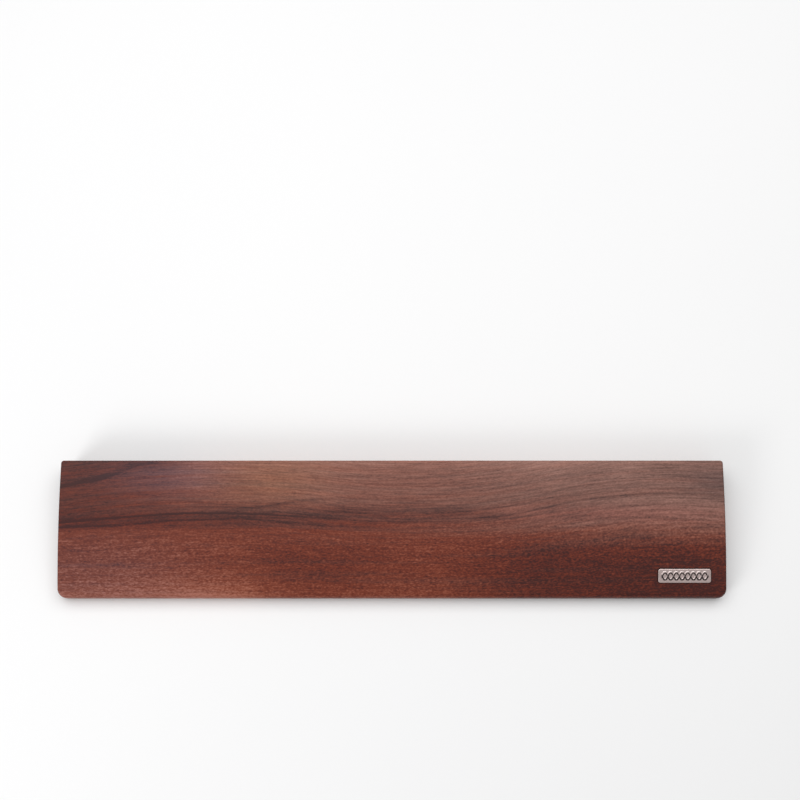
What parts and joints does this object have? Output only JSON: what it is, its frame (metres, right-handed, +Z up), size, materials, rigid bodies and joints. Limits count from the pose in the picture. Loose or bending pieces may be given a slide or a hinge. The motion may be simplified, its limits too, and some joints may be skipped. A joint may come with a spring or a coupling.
{
  "type": "wrist rest",
  "caption": "Long solid walnut wrist rest for a keyboard: an arched palm surface falling to a rounded front edge, a small metal badge at one end and round rubber feet.",
  "frame": {"origin": "centre of the footprint, on the plane of the six feet's undersides", "axes": "+X to the right along the length, towards the end with the badge; +Y to the back, the tall edge that faces the keyboard; +Z up"},
  "size_m": [0.368, 0.075, 0.018],
  "materials": {
    "walnut": "oiled walnut, satin, dark streaks along the grain",
    "badge_nickel": "die-struck satin nickel, darkened in the low areas",
    "pin_brass": "plain drawn wire",
    "foot_rubber": "matt moulded silicone rubber",
    "adhesive": "translucent double-sided acrylic tape"
  },
  "bodies": {
    "root": {"wood_body": "walnut", "badge_plate": "badge_nickel", "badge_adhesive_film": "adhesive", "badge_pin_left": "pin_brass", "badge_pin_right": "pin_brass", "foot_front_left": "foot_rubber", "foot_front_middle": "foot_rubber", "foot_front_right": "foot_rubber", "foot_back_left": "foot_rubber", "foot_back_middle": "foot_rubber", "foot_back_right": "foot_rubber", "foot_adhesive_front_left": "adhesive", "foot_adhesive_front_middle": "adhesive", "foot_adhesive_front_right": "adhesive", "foot_adhesive_back_left": "adhesive", "foot_adhesive_back_middle": "adhesive", "foot_adhesive_back_right": "adhesive"}
  },
  "joints": []
}
